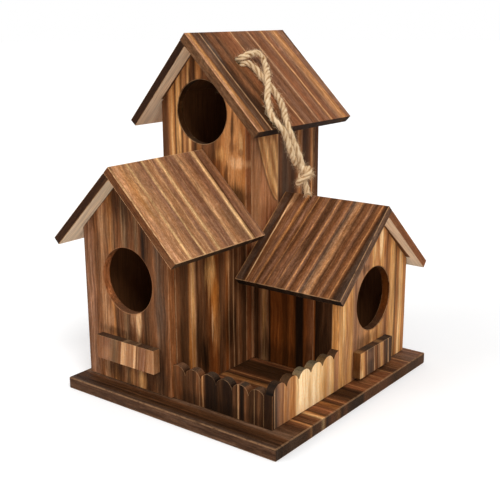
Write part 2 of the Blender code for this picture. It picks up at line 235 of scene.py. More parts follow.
def makeBoardPlace(settings):
    tree, taken, given = newGroup(
        "boardPlace",
        {"vector": ("Across", "Along"),
         "float": ("Start", "Lean", "Wander", "Fan From", "Fan To", "Seed")},
        {"vector": ("Place", "Spot", "Facing"), "float": ("Strip",)})
    spot = objectSpot(tree)
    normal = tree.nodes.new("ShaderNodeNewGeometry").outputs["True Normal"]
    through = vectorCalc(tree, "CROSS_PRODUCT", taken["Across"], taken["Along"])
    ways = (taken["Across"], taken["Along"], through)
    across, along, depth = [vectorCalc(tree, "DOT_PRODUCT", spot, way) for way in ways]
    along = calc(tree, "SUBTRACT", along, taken["Start"])
    facing = joined(tree, *[vectorCalc(tree, "DOT_PRODUCT", normal, way) for way in ways])
    shifted = product(tree, taken["Seed"], settings["seedStep"])
    slow = joined(tree, product(tree, across, settings["across"]),
                  product(tree, along, settings["along"]), shifted)
    wander = product(tree, centred(tree, noiseOf(tree, slow)), taken["Wander"])
    fan = spread(tree, across, taken["Fan From"], taken["Fan To"])
    leaning = addTo(tree, along, product(tree, fan, taken["Lean"]), across)
    strip = addTo(tree, wander, settings["amount"], leaning)
    tree.links.new(joined(tree, strip, along, depth), given["Spot"])
    apart = [calc(tree, "ADD", row, shifted) for row in (strip, along)]
    tree.links.new(joined(tree, *apart, depth), given["Place"])
    tree.links.new(strip, given["Strip"])
    tree.links.new(facing, given["Facing"])
    return tree


# Noises in the wood: waves per millimetre across and along the grain, detail and roughness.
# Ranges that a mask or a level is spread over: from low to high, and what the two become
woodNoises = {
    "sway": (0.10, 0.030, 2.0), "fibre": (1.6, 0.055, 4.0, 0.6), "vein": (0.62, 0.026, 3.0, 0.6),
    "fine": (5.0, 0.6, 2.0, 0.6), "mottle": (0.95, 0.26, 3.0, 0.65), "broad": (0.16, 0.022, 2.0),
    "streaks": (0.40, 0.020, 3.0), "dots": (1.35, 0.95, 2.0, 0.6), "slow": (0.075, 0.0085, 1.5),
    "endDots": (2.6, 0.4, 3.0, 0.7), "rubbed": (0.35, 0.22, 3.0, 0.7),
    "torn": (0.42, 0.045, 4.0, 0.6)}
woodRanges = {
    "sway": (0.3, 0.7, -1.2, 1.2), "pores": (0.60, 0.72), "rings": (-1.0, 1.0),
    "warmth": (0.38, 0.62), "sides": (0.60, 0.90), "slantedCuts": (0.15, 0.45, 1.0, 0.0),
    "lines": (0.30, 0.60, 0.5, 1.0), "burns": (0.50, 0.63), "ends": (0.55, 0.92),
    "startToEnd": (-0.2, 0.2), "endDots": (0.35, 0.65, 0.45, 1.6),
    "innerFibre": (0.3, 0.7, 0.74, 1.18), "innerVein": (0.3, 0.7, 0.84, 1.14),
    "inner": (0.80, 0.90), "arrisFrom": (0.18, 0.40), "arrisTo": (0.90, 0.975, 1.0, 0.0),
    "rubbed": (0.36, 0.52, 0.2, 1.0)}
woodSettings = {
    "ringWaves": 62.0, "ringDrift": 0.7, "ringSharpness": 1.8, "ringLevel": 0.4,
    "swings": {"fibre": 3.2, "vein": 3.6, "fine": 0.8, "broad": 1.4},
    "dotShare": 0.7, "unevenLevel": 0.85, "poreShare": 0.5, "endSootShare": 0.35,
    "warm": (1.10, 0.96, 0.82, 1), "cool": (0.93, 1.01, 1.14, 1), "burnt": (0.30, 0.20, 0.13, 1),
    "pore": (0.42, 0.34, 0.28, 1), "side": (1.03, 0.96, 0.86, 1), "endSoot": (0.11, 0.07, 0.045, 1),
    "roughness": {"base": 0.74, "fibre": -0.28, "burnt": 0.12, "end": 0.18},
    "height": {"fibre": 0.75, "fine": 0.25, "mottle": 0.25, "rings": 0.22, "pores": -0.35,
               "line": 0.25}}


# Scorched laminated wood: fibres, growth rings, pores, burns, end grain, inner face, worn arrises
def makeScorchedWood(settings):
    tree, taken, given = newGroup(
        "scorchedWood",
        {"vector": ("Place", "Facing"),
         "colour": ("Strip Colour", "Line Colour", "Inner Colour", "Wear Colour"),
         "float": ("Line", "Grain", "Rings", "Speckle", "Burn", "Side Tone", "End Tone",
                   "Start Tone", "Inner Side", "Wear")},
        {"colour": ("Colour",), "float": ("Roughness", "Height")})
    place, grain = taken["Place"], taken["Grain"]

    def noise(name, spot):
        return grainNoise(tree, spot, *woodNoises[name])

    def ranged(value, name, *ends):
        return spread(tree, value, *woodRanges[name], *ends)

    wood = vectorCalc(tree, "ADD", place, joined(tree, ranged(noise("sway", place), "sway")))
    fibre, vein, fine, mottle, broad = [
        noise(name, wood) for name in ("fibre", "vein", "fine", "mottle", "broad")]
    dots = noise("dots", place)
    pores = ranged(fine, "pores")

    # Growth rings follow a slow noise, so they close into long flames
    phase = addTo(tree, noise("slow", place), settings["ringWaves"],
                  product(tree, parted(tree, wood)["X"], settings["ringDrift"]))
    rings = calc(tree, "POWER", ranged(calc(tree, "SINE", phase), "rings"),
                 settings["ringSharpness"])
    swing = product(tree, calc(tree, "SUBTRACT", rings, settings["ringLevel"]), taken["Rings"])
    for source, name in ((fibre, "fibre"), (vein, "vein"), (fine, "fine"), (broad, "broad")):
        swing = addTo(tree, centred(tree, source), settings["swings"][name], swing)
    uneven = addTo(tree, dots, settings["dotShare"],
                   calc(tree, "SUBTRACT", mottle, settings["unevenLevel"]))
    speckle = product(tree, uneven, taken["Speckle"])
    light = calc(tree, "POWER", 2.0, addTo(tree, swing, grain, speckle))

    # Each strip's colour with warm and cool fibres, and the light lines on the board's faces
    warmth = addTo(tree, dots, 0.5, product(tree, vein, 0.5))
    tint = mixed(tree, ranged(warmth, "warmth"), settings["warm"], settings["cool"])
    colour = tinted(tree, taken["Strip Colour"], tint)
    facing = parted(tree, vectorCalc(tree, "ABSOLUTE", taken["Facing"]))
    sideShare = calc(tree, "MAXIMUM", ranged(facing["X"], "sides"),
                     ranged(facing["Z"], "slantedCuts"))
    lineShare = product(tree, taken["Line"], ranged(vein, "lines"))
    lineShare = product(tree, lineShare, calc(tree, "SUBTRACT", 1.0, sideShare))
    colour = mixed(tree, lineShare, colour, taken["Line Colour"])
    colour = lit(tree, colour, light)

    # Burnt streaks and pores
    burnt = product(tree, ranged(noise("streaks", wood), "burns"), taken["Burn"])
    colour = partTinted(tree, burnt, colour, settings["burnt"])
    poreShare = product(tree, product(tree, pores, settings["poreShare"]), grain)
    colour = partTinted(tree, poreShare, colour, settings["pore"])

    # Sides of the board, then its end grain, inner face and worn arrises
    signed = parted(tree, taken["Facing"])
    sideLevel = addTo(tree, sideShare, calc(tree, "SUBTRACT", taken["Side Tone"], 1.0), 1.0)
    colour = lit(tree, colour, sideLevel)
    colour = partTinted(tree, sideShare, colour, settings["side"])
    endLevel = ranged(signed["Y"], "startToEnd", taken["Start Tone"], taken["End Tone"])
    endLevel = product(tree, endLevel, ranged(noise("endDots", place), "endDots"))
    endColour = mixed(tree, settings["endSootShare"], taken["Strip Colour"], settings["endSoot"])
    endShare = ranged(facing["Y"], "ends")
    colour = mixed(tree, endShare, colour, lit(tree, endColour, endLevel))
    innerLevel = product(tree, ranged(fibre, "innerFibre"), ranged(vein, "innerVein"))
    innerShare = ranged(product(tree, signed["Z"], taken["Inner Side"]), "inner")
    colour = mixed(tree, innerShare, colour, lit(tree, taken["Inner Colour"], innerLevel))
    arris = product(tree, ranged(facing["Z"], "arrisFrom"), ranged(facing["Z"], "arrisTo"))
    rubbed = ranged(noise("rubbed", place), "rubbed")
    worn = product(tree, product(tree, arris, rubbed), taken["Wear"])
    colour = mixed(tree, worn, colour, taken["Wear Colour"])

    share = settings["roughness"]
    rough = addTo(tree, fibre, share["fibre"], share["base"])
    rough = addTo(tree, burnt, share["burnt"], rough)
    rough = addTo(tree, endShare, share["end"], rough)
    share = settings["height"]
    height = addTo(tree, fibre, share["fibre"], product(tree, fine, share["fine"]))
    height = addTo(tree, mottle, share["mottle"], height)
    height = addTo(tree, rings, product(tree, taken["Rings"], share["rings"]), height)
    height = addTo(tree, pores, share["pores"], height)
    height = addTo(tree, lineShare, share["line"], height)
    tree.links.new(colour, given["Colour"])
    tree.links.new(calc(tree, "MINIMUM", rough, 1.0), given["Roughness"])
    tree.links.new(height, given["Height"])
    return tree


# One listed patch of another tone, drawn out and ragged along the grain
def makeTonePatch():
    tree, taken, given = newGroup(
        "tonePatch", {"vector": ("Spot", "Middle", "Size"), "float": ("Ragged", "Soft")},
        {"float": ("Share",)})
    spot = vectorCalc(tree, "MULTIPLY", taken["Spot"], (1, 1, 0))
    away = vectorCalc(tree, "SUBTRACT", spot, taken["Middle"])
    away = vectorCalc(tree, "LENGTH", vectorCalc(tree, "DIVIDE", away, taken["Size"]))
    torn = centred(tree, grainNoise(tree, spot, *woodNoises["torn"]))
    reach = addTo(tree, torn, taken["Ragged"], away)
    edge = calc(tree, "DIVIDE", calc(tree, "SUBTRACT", 1.0, reach), taken["Soft"])
    share = calc(tree, "MINIMUM", calc(tree, "MAXIMUM", edge, 0.0), 1.0)
    tree.links.new(share, given["Share"])
    return tree


boardPlace = makeBoardPlace(wanderSettings)
scorchedWood = makeScorchedWood(woodSettings)
tonePatch = makeTonePatch()
print("wood groups made")

# The tones that the torch and the laminating leave, from soot to bare wood
woodTones = {name: fromHex(text) for name, text in {
    "black": "#160b04", "soot": "#231307", "char": "#3b2310", "umber": "#54341d",
    "ash": "#624733", "slate": "#4a372a", "ember": "#5c300f", "rust": "#86481c",
    "sienna": "#b47a50", "clay": "#bf8b62", "olive": "#75563a", "brown": "#764a2b",
    "russet": "#865231", "mauve": "#845b41", "copper": "#a56c3b", "orange": "#b06a2c",
    "fawn": "#a3744e", "tan": "#bb814d", "amber": "#f0ba78", "honey": "#cd9659",
    "wheat": "#d8a878", "straw": "#e6b97f", "cream": "#fbd8a4", "bare": "#fde2c0",
    "worn": "#b98d64", "chalk": "#d9c4ae"}.items()}

# What a board has where its own dictionary says nothing. Along is the way of its grain, and lean
# the slant of its strips, which grows between the two places of fan. Side, end and startEnd are
# the tones of its cut sides and ends, and innerSide says which face is the inner one
usualBoard = {
    "along": upwards, "lean": 0.0, "fan": (-2000, -1000), "wander": 0.3, "margin": 3, "lines": (),
    "patches": (), "ragged": 1.6, "lineTone": "wheat", "innerTone": "brown", "wearTone": "worn",
    "grain": 0.55, "rings": 0.3, "speckle": 0.8, "burn": 0.4, "side": 0.8, "end": 0.45,
    "innerSide": -1.0, "wear": 0.55, "relief": 0.0003, "bump": 0.8, "gloss": 0.06,
    "patchEdge": 0.6, "holeEdge": (0.03, 0.04), "bareBlur": 0.3}


# A ramp across the strips, whose stops are places in millimetres
def acrossRamp(tree, stops, span, position):
    left, right = span
    shares = [((place - left) / (right - left), colour) for place, colour in stops]
    return rampOf(tree, spread(tree, position, left, right), shares)


# Thin lines along the strips: middle, width and strength of each
def lineStops(lines, left):
    levels = [(left, 0.0)]
    for middle, width, strength in sorted(lines):
        levels += [(middle - width, 0.0), (middle, strength), (middle + width, 0.0)]
    return [(place, (level, level, level, 1)) for place, level in levels]


# A pointed flame of pale wood that opens upwards from its tip, with its own growth lines
growthLines = {
    "noise": (0.3, 0.05), "sway": 5.0, "waves": 0.95, "blur": 0.4, "rim": 0.6,
    "rimReach": (-2.2, -0.3), "rimTone": "umber"}


def coverFlame(tree, spot, colour, flame):
    across, along = parted(tree, spot)["X"], parted(tree, spot)["Y"]
    rise = calc(tree, "MAXIMUM", calc(tree, "SUBTRACT", along, flame["tip"]), 0.0)
    opening = product(tree, calc(tree, "POWER", rise, flame["curve"]), flame["width"])
    inside = calc(tree, "ADD", calc(tree, "SUBTRACT", across, flame["side"]), opening)
    ripple = addTo(tree, grainNoise(tree, spot, *growthLines["noise"]), growthLines["sway"],
                   product(tree, inside, growthLines["waves"]))
    pale = mixed(tree, spread(tree, calc(tree, "SINE", ripple), -1.0, 1.0),
                 woodTones[flame["low"]], woodTones[flame["tone"]])
    side = flame["side"]
    within = spread(tree, across, side - growthLines["blur"], side, 1.0, 0.0)
    rim = product(tree, spread(tree, inside, *growthLines["rimReach"]), growthLines["rim"])
    colour = mixed(tree, product(tree, rim, within), colour, woodTones[growthLines["rimTone"]])
    return mixed(tree, product(tree, spread(tree, inside, 0.0, 1.0), within), colour, pale)


# Patches of another tone: middle, size, tone and strength, and how ragged and soft the edge is
def coverPatches(tree, spot, colour, looks):
    patches = [(*patch, looks["ragged"], looks["patchEdge"]) for patch in looks["patches"]]
    if "hole" in looks:
        middle, radius, tone, strength = looks["hole"]
        patches.append((middle, (radius, radius), tone, strength, *looks["holeEdge"]))
    for middle, size, tone, strength, ragged, soft in patches:
        patch = addNode(tree, "ShaderNodeGroup", {
            "Spot": spot, "Middle": (*middle, 0), "Size": (*size, 1), "Ragged": ragged,
            "Soft": soft}, node_tree=tonePatch)
        share = product(tree, patch.outputs["Share"], strength)
        colour = mixed(tree, share, colour, woodTones[tone])
    return colour


# The inner face, bare where it stands out past the walls: part of the place, its edge and side
def innerColour(tree, spot, looks):
    plain = woodTones[looks["innerTone"]]
    if "bareEdge" not in looks:
        return plain
    bare = 0.0
    for row, edge, side in looks["bareEdge"]:
        blur = side * looks["bareBlur"]
        outside = spread(tree, parted(tree, spot)[row], edge - blur, edge + blur)
        bare = calc(tree, "MAXIMUM", bare, outside)
    return mixed(tree, bare, plain, woodTones["bare"])


def dressBoard(settings):
    looks = {**usualBoard, **settings}
    node = looks["node"]
    material, tree = newMaterial(node + "_wood")
    across, along = Vector(looks["across"]), Vector(looks["along"])
    corners = [vertex.co * millimetres for vertex in cadNodes[node].data.vertices]
    reach = [corner.dot(across) for corner in corners]
    span = (min(reach) - looks["margin"], max(reach) + looks["margin"])
    standing = abs(along.z) > 0.99  # a standing board's place along is its height
    placed = addNode(tree, "ShaderNodeGroup", {
        "Across": across, "Along": along, "Lean": looks["lean"], "Wander": looks["wander"],
        "Start": 0.0 if standing else min(corner.dot(along) for corner in corners),
        "Fan From": looks["fan"][0], "Fan To": looks["fan"][1], "Seed": looks["seed"],
    }, node_tree=boardPlace)
    strip, spot = placed.outputs["Strip"], placed.outputs["Spot"]
    tones = [(place, woodTones[tone]) for place, tone in looks["strips"].items()]
    colour = acrossRamp(tree, tones, span, strip)
    if "flame" in looks:
        colour = coverFlame(tree, spot, colour, looks["flame"])
    colour = coverPatches(tree, spot, colour, looks)
    wood = addNode(tree, "ShaderNodeGroup", {
        "Place": placed.outputs["Place"], "Facing": placed.outputs["Facing"],
        "Strip Colour": colour, "Inner Colour": innerColour(tree, spot, looks),
        "Line": acrossRamp(tree, lineStops(looks["lines"], span[0]), span, strip),
        "Line Colour": woodTones[looks["lineTone"]], "Wear Colour": woodTones[looks["wearTone"]],
        "Grain": looks["grain"], "Rings": looks["rings"], "Speckle": looks["speckle"],
        "Burn": looks["burn"], "Side Tone": looks["side"], "End Tone": looks["end"],
        "Start Tone": looks.get("startEnd", looks["end"]), "Inner Side": looks["innerSide"],
        "Wear": looks["wear"]}, node_tree=scorchedWood)
    finishShader(tree, *wood.outputs, looks)
    cadNodes[node].material_slots[0].material = material


# The way of the grain on a sloping panel, from ridge to eave
def slope(way, pitch):
    flat, drop = cos(radians(pitch)), sin(radians(pitch))
    return (way[0] * flat, way[1] * flat, -drop)


towerRightPitch, towerLeftPitch, cottagePitch, annexPitch = 44.66, 49.1, 44.3, 40.7
towerRightRun = slope((1, 0), towerRightPitch)
towerLeftRun = slope((-1, 0), towerLeftPitch)
cottageRightRun = slope((1, 0), cottagePitch)
cottageLeftRun = slope((-1, 0), cottagePitch)
annexFrontRun = slope((0, -1), annexPitch)
annexBackRun = slope((0, 1), annexPitch)

# Tower roof: wide reddish strips with thin light lines, a dark strip behind the front one
towerRoofRight = {
    "node": "tower_roof_right", "across": backwards, "along": towerRightRun, "seed": 1,
    "lean": -0.042, "fan": (4, 28), "wander": 0.5,
    "strips": {
        -8: "brown", -7.2: "clay", -6: "clay", -4.8: "honey", -3.6: "copper", -2.2: "umber",
        -0.8: "ash", 2: "umber", 4.4: "char", 7.4: "umber", 10.6: "brown", 12.4: "brown",
        14.6: "umber", 18: "brown", 22: "russet", 29.6: "russet", 32.6: "brown", 37: "mauve",
        43.5: "brown", 46: "mauve", 50: "russet", 57.6: "mauve", 59.4: "copper", 61.4: "russet",
        66: "mauve", 69.6: "fawn", 72.2: "tan", 75: "copper", 77: "mauve", 79.4: "mauve",
        83: "umber"},
    "lines": [
        (3.6, 0.4, 1), (31.2, 0.8, 0.8), (46.8, 0.7, 0.7), (59.9, 0.9, 0.8), (72.6, 1.3, 0.5),
        (75.4, 0.5, 0.4), (80.6, 0.5, 0.3)],
    "patches": [
        ((6, 55), (6, 20), "char", 0.9), ((48, 12), (6, 12), "brown", 0.5),
        ((4, 14), (3.5, 12), "chalk", 0.07), ((-1, 14), (3, 12), "mauve", 0.4),
        ((36, 8), (5, 10), "umber", 0.35), ((66, 40), (5, 22), "brown", 0.4),
        ((24, 62), (9, 8), "brown", 0.4), ((-4.8, 66), (2.4, 24), "brown", 0.8),
        ((-6.4, 30), (1.2, 14), "fawn", 0.5), ((9, 18), (3, 10), "brown", 0.6)],
    "bareEdge": ((0, 1.5, -1), (0, 73.3, 1), (1, 52.3, 1)),
    "speckle": 2.6, "burn": 0.35, "rings": 0.2, "side": 0.25, "end": 0.2, "startEnd": 0.8,
    "wear": 0.8, "wearTone": "wheat", "innerSide": 1}
dressBoard(towerRoofRight)

towerRoofLeft = {
    "node": "tower_roof_left", "across": backwards, "along": towerLeftRun, "seed": 2, "lean": 0.03,
    "strips": {
        -8: "char", -5: "umber", 2: "russet", 13: "brown", 14: "umber", 26: "copper", 28: "russet",
        44: "brown", 46: "umber", 56: "mauve", 66: "russet", 69: "copper", 78: "brown"},
    "lines": [
        (-3, 0.5, 0.7), (13.5, 0.9, 0.7), (27, 0.8, 0.8), (45.5, 1, 0.7), (57, 0.5, 0.6),
        (67, 1.1, 0.6)],
    "patches": [((35, 20), (9, 24), "umber", 0.6), ((70, 50), (9, 20), "char", 0.5)],
    "bareEdge": ((0, 1.5, -1), (0, 73.3, 1), (1, 40, 1)),
    "grain": 0.5, "speckle": 2.2, "side": 0.35, "end": 0.2, "startEnd": 0.8, "wear": 0.8}
dressBoard(towerRoofLeft)

# Cottage roof: the lightest panel, tan at the front and browner at the back
cottageRoofRight = {
    "node": "cottage_roof_right", "across": backwards, "along": cottageRightRun, "seed": 3,
    "lean": 0.022, "wander": 0.5,
    "strips": {
        -71.5: "brown", -70.4: "brown", -69.4: "clay", -66.6: "clay", -64: "fawn", -54: "fawn",
        -50: "mauve", -47: "fawn", -43: "fawn", -40: "mauve", -38: "fawn", -34.6: "fawn",
        -30: "mauve", -24.4: "mauve", -23: "clay", -20.8: "fawn", -18.6: "fawn", -14: "mauve",
        -10.4: "mauve", -8.4: "clay", -6.7: "brown", -5.4: "mauve", -3: "mauve", 0: "fawn",
        1.2: "mauve"},
    "lines": [
        (-70.4, 0.4, 0.8), (-58.8, 1.2, 1), (-48.2, 1.1, 1), (-36.3, 1.7, 1), (-22.6, 2, 0.4),
        (-8.7, 2.2, 1), (-42.6, 0.5, 0.35), (-28.6, 0.5, 0.3)],
    "patches": [
        ((-3, 10), (4, 18), "umber", 0.35), ((-12, 12), (3, 12), "mauve", 0.5),
        ((-9.2, 46), (1.2, 14), "cream", 0.6), ((-13, 48), (7, 16), "olive", 0.5),
        ((-54, 12), (5, 10), "mauve", 0.4), ((-64.5, 20), (4.5, 22), "amber", 0.25),
        ((-65, 16), (3.5, 16), "orange", 0.35), ((-29, 20), (5, 14), "mauve", 0.4),
        ((-6.4, 30), (0.9, 60), "char", 0.8), ((-8.9, 30), (0.5, 60), "cream", 0.9),
        ((-36.3, 40), (0.4, 50), "cream", 0.6)],
    "bareEdge": ((0, -62.6, -1), (1, 47, 1)),
    "lineTone": "straw", "grain": 0.5, "speckle": 2.4, "burn": 0.2, "rings": 0.25, "side": 0.6,
    "end": 0.2, "startEnd": 0.8, "wear": 1, "wearTone": "wheat", "innerSide": 1}
dressBoard(cottageRoofRight)

cottageRoofLeft = {
    "node": "cottage_roof_left", "across": backwards, "along": cottageLeftRun, "seed": 4,
    "lean": -0.02,
    "strips": {
        -71.5: "char", -67: "umber", -66: "copper", -55: "brown", -53.6: "fawn", -45: "mauve",
        -34: "russet", -32.6: "tan", -27: "russet", -16: "mauve", -14: "fawn", -6: "brown",
        1.2: "umber"},
    "lines": [(-66, 0.8, 0.7), (-54, 0.9, 0.8), (-44, 0.5, 0.6), (-33, 1.1, 0.8), (-15, 1.1, 0.9)],
    "patches": [((-40, 40), (8, 18), "umber", 0.5)],
    "bareEdge": ((0, -62.6, -1), (1, 42, 1)),
    "grain": 0.45, "speckle": 2.2, "burn": 0.3, "side": 0.6, "end": 0.2, "startEnd": 0.8,
    "wear": 0.8}
dressBoard(cottageRoofLeft)

# Annex roof: narrow strips that fan a little, each dark behind its own light line
annexRoofFront = {
    "node": "annex_roof_front", "across": sideways, "along": annexFrontRun, "seed": 5,
    "lean": 0.062, "fan": (4.5, 13), "wander": 0.12,
    "strips": {
        -2: "copper", -1: "ash", 2: "slate", 4: "umber", 5.2: "brown", 7.6: "brown", 12.4: "mauve",
        14.2: "copper", 16: "umber", 18.6: "mauve", 20.6: "brown", 22.6: "umber", 25: "brown",
        28.2: "mauve", 30: "umber", 33: "umber", 35.6: "mauve", 37.6: "umber", 40.4: "brown",
        42.8: "mauve", 44.6: "slate", 47.4: "fawn", 49.4: "fawn", 51.2: "umber", 54.2: "brown",
        56: "mauve", 58: "umber", 60.6: "brown", 62.4: "brown", 64: "char", 66.6: "slate"},
    "lines": [
        (5, 0.6, 1), (14, 0.8, 0.8), (21.4, 0.6, 0.75), (28.4, 0.6, 0.75), (35.4, 0.8, 0.8),
        (42.7, 0.6, 0.8), (49.2, 0.7, 0.8), (55.8, 0.6, 0.7), (62, 0.6, 0.75), (9.6, 0.5, 0.4)],
    "patches": [
        ((1.5, 34), (4, 12), "soot", 0.2), ((6, 3), (2.4, 14), "wheat", 0.6),
        ((24, 50), (16, 16), "mauve", 0.4), ((5, 30), (0.6, 44), "cream", 1),
        ((-2.1, 29), (0.8, 46), "honey", 0.9)],
    "bareEdge": ((0, 58.3, 1), (1, 39.7, 1)),
    "lineTone": "tan", "speckle": 2.6, "rings": 0.2, "side": 1.9, "end": 0.18, "startEnd": 0.8,
    "wear": 0.75, "innerSide": 1}
dressBoard(annexRoofFront)

annexRoofBack = {
    "node": "annex_roof_back", "across": sideways, "along": annexBackRun, "seed": 6, "lean": -0.05,
    "strips": {
        -2: "umber", 4: "umber", 5: "copper", 10: "umber", 12: "copper", 18: "umber", 20: "brown",
        24: "slate", 25.6: "copper", 31: "brown", 38: "umber", 40: "copper", 45: "umber",
        47: "russet", 52: "umber", 54: "copper", 59: "umber", 61: "russet", 65.3: "brown"},
    "lines": [
        (5, 0.8, 0.7), (11.5, 0.8, 0.7), (25, 0.9, 0.7), (32, 0.8, 0.6), (39.4, 0.8, 0.6),
        (46, 0.8, 0.7), (53, 0.8, 0.7), (60, 0.7, 0.6)],
    "bareEdge": ((0, 58.3, 1), (1, 47, 1)),
    "grain": 0.5, "speckle": 2.2, "burn": 0.35, "rings": 0.25, "side": 1, "end": 0.22,
    "startEnd": 0.8, "wear": 0.8}
dressBoard(annexRoofBack)
print("roof boards dressed")

# Cottage walls
cottageFront = {
    "node": "cottage_front_wall", "across": sideways, "seed": 7, "wander": 0.9,
    "strips": {
        -66: "ash", -64: "mauve", -60: "mauve", -57.4: "brown", -55: "brown", -53: "fawn",
        -48: "brown", -46: "copper", -43: "umber", -39: "brown", -35.6: "olive", -33.4: "umber",
        -30: "brown", -27.5: "olive", -24.5: "brown", -22.4: "char", -20: "umber", -16: "brown",
        -13: "ash", -9: "umber", -7: "brown"},
    "lines": [(-51, 0.6, 0.15), (-61.6, 0.6, 0.15), (-37, 0.5, 0.25)],
    "patches": [
        ((-27, 44), (3.2, 10), "wheat", 1), ((-31, 46), (2.5, 6), "fawn", 0.8),
        # The char patch at (-36, 106) is partly burnt wood and partly painted shade under the roof
        ((-49, 42), (3.5, 9), "fawn", 0.8), ((-36, 106), (9, 12), "char", 0.7),
        ((-48, 92), (8, 14), "olive", 0.4), ((-46, 13), (9, 8), "char", 0.75),
        ((-26, 11), (3.2, 8), "honey", 0.6), ((-33, 12), (3, 8), "tan", 0.6),
        ((-13, 14), (8, 12), "char", 0.8), ((-22.5, 84), (2, 12), "soot", 0.9),
        ((-56, 74), (3, 20), "umber", 0.5), ((-12, 52), (5, 16), "slate", 0.5),
        ((-44, 35.6), (15, 3), "char", 0.6)],
    "hole": ((-34.45, 65.3), 18.5, "russet", 0.9),
    "grain": 0.85, "speckle": 1, "rings": 0.35, "relief": 0.00045, "side": 1.4, "end": 0.7,
    "wear": 0.3}
dressBoard(cottageFront)

cottageRight = {
    "node": "cottage_right_wall", "across": backwards, "seed": 8, "wander": 0.6,
    "strips": {
        -57.5: "russet", -55.4: "brown", -53.4: "umber", -48.6: "umber", -47.6: "brown",
        -46.8: "copper", -46: "tan", -44: "honey", -42.4: "fawn", -41: "umber", -38: "brown",
        -35: "umber", -26: "rust", -22: "umber", -18: "brown", -16: "rust", -13.6: "brown",
        -12.6: "umber", -10.4: "brown", -8.4: "umber", -6.6: "brown", -4.4: "brown", -2.4: "umber"},
    "lines": [(-45.2, 0.6, 0.8), (-14.4, 0.6, 0.5), (-10.2, 0.45, 0.9), (-6, 0.4, 0.6)],
    "patches": [
        ((-29.5, 66), (5, 17), "honey", 1), ((-27, 50), (4.2, 18), "orange", 1),
        ((-25.5, 34), (4.4, 16), "copper", 0.75), ((-28.8, 38), (0.9, 14), "wheat", 0.7),
        ((-31.4, 56), (1.1, 12), "tan", 0.7), ((-45.6, 26), (3.4, 18), "orange", 0.75),
        ((-39, 34), (3.6, 26), "soot", 0.7), ((-53, 34), (3, 26), "char", 0.6),
        ((-15, 70), (2.4, 10), "tan", 0.6), ((-35, 20), (4, 16), "black", 0.8),
        ((-14, 32), (8, 18), "soot", 0.7)],
    "ragged": 1.8, "grain": 0.65, "speckle": 0.9, "burn": 0.25}
dressBoard(cottageRight)

cottageLeft = {
    "node": "cottage_left_wall", "across": backwards, "seed": 9,
    "strips": {
        -57.5: "brown", -53: "fawn", -51: "umber", -46: "umber", -44: "copper", -40: "tan",
        -38: "brown", -31: "umber", -29: "char", -25: "umber", -23: "fawn", -19: "tan",
        -17: "brown", -10: "umber", -5: "brown", -3: "copper", 1.2: "brown"},
    "lines": [(-52, 0.7, 0.6), (-39, 0.7, 0.6), (-18, 0.7, 0.6)],
    "patches": [
        ((-30, 30), (8, 22), "char", 0.6), ((-48, 70), (6, 20), "char", 0.6),
        ((-42, 44), (3, 18), "honey", 0.7), ((-12, 60), (4, 16), "tan", 0.6)],
    "grain": 0.85, "rings": 0.4, "innerSide": 1}
dressBoard(cottageLeft)

# Tower walls
towerFront = {
    "node": "tower_front_wall", "across": sideways, "seed": 10, "wander": 0.5,
    "strips": {
        -66.2: "brown", -63.6: "umber", -61.4: "brown", -60: "tan", -58: "honey", -56.6: "copper",
        -55.6: "umber", -54.6: "honey", -52.4: "honey", -51: "umber", -49.4: "tan", -47: "brown",
        -45.6: "honey", -43.8: "brown", -41: "char", -39: "copper", -36: "umber", -33: "brown",
        -28: "umber", -22: "copper", -18: "tan", -12: "tan", -8: "copper", -6.4: "copper",
        -5.3: "russet"},
    "lines": [(-58.4, 0.6, 0.7), (-53.4, 0.6, 0.7), (-45.4, 0.6, 0.6)],
    "patches": [
        ((-28, 108), (16, 14), "rust", 0.6), ((-14.6, 141), (1.5, 12), "umber", 0.9),
        ((-10.4, 149), (1.6, 8), "brown", 0.8), ((-14.4, 130), (3, 4.5), "brown", 0.7),
        ((-8.8, 133), (1.6, 9), "straw", 0.5), ((-11, 121), (6.5, 4), "wheat", 0.7),
        ((-9, 127), (2.4, 2.4), "brown", 0.6), ((-22, 125), (5, 5), "honey", 0.6),
        ((-19.4, 113), (1.8, 9), "umber", 0.85), ((-12, 102), (9, 9.5), "char", 0.85),
        # The char patch at (-27, 172) is partly burnt wood and partly painted shade under the roof
        ((-24, 116), (1.6, 8), "brown", 0.7), ((-27, 172), (12, 12), "char", 0.6),
        ((-38, 170), (2.4, 9), "copper", 0.7), ((-44, 164), (1.3, 8), "char", 0.8)],
    "hole": ((-36.25, 147.2), 18.5, "char", 1),
    "ragged": 1.9, "grain": 0.5, "speckle": 1, "burn": 0.18, "rings": 0.45, "side": 0.9,
    "end": 0.6}
dressBoard(towerFront)

towerRight = {
    "node": "tower_right_wall", "across": backwards, "seed": 11,
    "strips": {
        6.6: "sienna", 13: "fawn", 17: "sienna", 31.2: "sienna", 32.2: "umber", 34: "brown",
        36.4: "ash", 40: "ash", 43: "umber", 47: "char", 50: "brown", 53: "copper", 55.4: "brown",
        57: "char", 62: "umber", 64: "brown", 66: "copper", 68.2: "umber"},
    "lines": [(31.4, 0.6, 0.9), (51.5, 0.5, 0.5), (55.2, 0.4, 0.5), (66.4, 0.5, 0.5)],
    "patches": [
        ((38, 112), (4, 14), "char", 0.5), ((22, 90), (9, 9), "russet", 0.5),
        # The char patch at (10, 136) is painted shade under the roof's eave
        ((10, 136), (14, 5), "char", 0.55), ((9, 120), (1.4, 16), "brown", 0.6),
        ((47, 122), (3, 14), "slate", 0.5), ((26, 134), (6, 4), "brown", 0.5)],
    "flame": {"tip": 96, "side": 31.4, "width": 2.03, "curve": 0.62, "tone": "amber", "low": "tan"},
    "speckle": 0.9, "burn": 0.2, "rings": 0.35}
dressBoard(towerRight)

